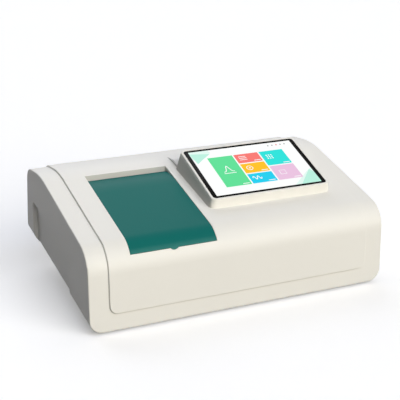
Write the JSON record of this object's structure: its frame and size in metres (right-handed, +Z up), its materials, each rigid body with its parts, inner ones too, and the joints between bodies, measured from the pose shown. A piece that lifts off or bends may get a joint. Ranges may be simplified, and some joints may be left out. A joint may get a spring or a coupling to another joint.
{
  "type": "double beam spectrophotometer",
  "caption": "Low bench spectrophotometer: proud sloping cover in a moulded cradle, hinged sample lid, tilted touch display and a geared grating drive inside.",
  "frame": {"origin": "middle of the footprint, on the table", "axes": "+X to the right seen from the front, -Y towards the user, +Z up"},
  "size_m": [0.575, 0.3757, 0.2403],
  "materials": {
    "housing": "fine satin texture",
    "cover": "fine satin texture",
    "lid_teal": "satin",
    "display_shell": "fine satin texture",
    "touch_glass": "polished, black printed border",
    "black_plastic": "matt",
    "lcd": "lit panel",
    "circuit_board": "solder mask",
    "board_parts": "moulded",
    "zinc_steel": "zinc plated",
    "panel_grey": "powder coat",
    "screw_steel": "bright",
    "foot_rubber": "matt",
    "seal_foam": "foam",
    "wire_chrome": "bright",
    "cast_aluminium": "as cast",
    "black_anodised": "matt black",
    "quartz": "polished",
    "mirror_coat": "front coated",
    "spring_steel": "bright",
    "motor_steel": "black",
    "gear_brass": "cut",
    "lamp_glass": "clear",
    "socket_ceramic": "ceramic-like"
  },
  "bodies": {
    "instrument": {"base_housing": "housing", "main_cover": "cover", "lid_seal": "seal_foam", "display_housing": "display_shell", "cover_glass": "touch_glass", "display_frame": "black_plastic", "lcd_module": "lcd", "display_board": "circuit_board", "chassis_tray": "zinc_steel", "feet": "foot_rubber", "tray_screws": "screw_steel", "rear_panel": "panel_grey", "rear_panel_screws": "screw_steel", "fan_frame": "black_plastic", "fan_guard": "wire_chrome", "mains_inlet": "black_plastic", "switch_frame": "black_plastic", "main_board": "circuit_board", "board_standoffs": "screw_steel", "board_components": "board_parts", "data_ports": "screw_steel", "optical_bench": "cast_aluminium", "bench_mounts": "foot_rubber", "compartment_tub": "black_plastic", "beam_windows": "quartz", "cell_holder": "black_anodised", "cell_springs": "spring_steel", "cell_holder_screws": "screw_steel", "detector_block": "black_anodised", "photodiodes": "screw_steel", "detector_board": "circuit_board", "mirror_posts": "black_anodised", "monochromator_case": "cast_aluminium", "monochromator_cover": "black_anodised", "monochromator_screws": "screw_steel", "grating_pedestal": "cast_aluminium", "drive_motor": "motor_steel", "mirror_mounts": "black_anodised", "concave_mirrors": "mirror_coat", "lamp_house": "zinc_steel", "lamp_sockets": "socket_ceramic", "deuterium_lamp": "lamp_glass", "halogen_lamp": "lamp_glass", "source_mirror_motor": "motor_steel", "filter_motor": "motor_steel", "power_supply": "circuit_board", "beam_splitter": "quartz", "fold_mirror": "mirror_coat", "entrance_slit": "black_anodised", "exit_slit": "black_anodised"},
    "lid": {"sample_lid": "lid_teal", "lid_pivot_pins": "screw_steel"},
    "rocker": {"power_rocker": "black_plastic"},
    "fan": {"fan_rotor": "black_plastic"},
    "wheel": {"filter_wheel": "black_anodised", "filter_glasses": "quartz"},
    "grating_stage": {"grating_table": "gear_brass", "grating": "mirror_coat"},
    "pinion": {"drive_pinion": "screw_steel"},
    "source_swing": {"source_mirror": "mirror_coat"}
  },
  "joints": [
    {"name": "lid_hinge", "type": "hinge", "parent": "instrument", "child": "lid", "pos_m": [-0.1305, 0.0327, 0.19368], "axis": [-1, 0, 0], "range_deg": [0, 100]},
    {"name": "rocker_tilt", "type": "hinge", "parent": "instrument", "child": "rocker", "pos_m": [0.146, 0.17347, 0.12114], "axis": [1, 0, 0], "range_deg": [0, 16]},
    {"name": "fan_spin", "type": "hinge", "parent": "instrument", "child": "fan", "pos_m": [0.066, 0.16507, 0.11981], "axis": [0, 0.9877, 0.1564], "continuous": true},
    {"name": "filter_turn", "type": "hinge", "parent": "instrument", "child": "wheel", "pos_m": [0.1415, 0.049, 0.1], "axis": [1, 0, 0], "continuous": true},
    {"name": "grating_turn", "type": "hinge", "parent": "instrument", "child": "grating_stage", "pos_m": [0.072, 0.027, 0.067], "axis": [0, 0, 1], "range_deg": [-5, 30]},
    {"name": "pinion_spin", "type": "hinge", "parent": "instrument", "child": "pinion", "pos_m": [0.072, 0.057, 0.067], "axis": [0, 0, 1], "range_deg": [-130, 30]},
    {"name": "source_mirror_turn", "type": "hinge", "parent": "instrument", "child": "source_swing", "pos_m": [0.188, 0.065, 0.1], "axis": [0, 0, 1], "range_deg": [0, 10.5]}
  ],
  "couplings": [
    {"joint": "pinion_spin", "follows": "grating_turn", "ratio": -4}
  ]
}
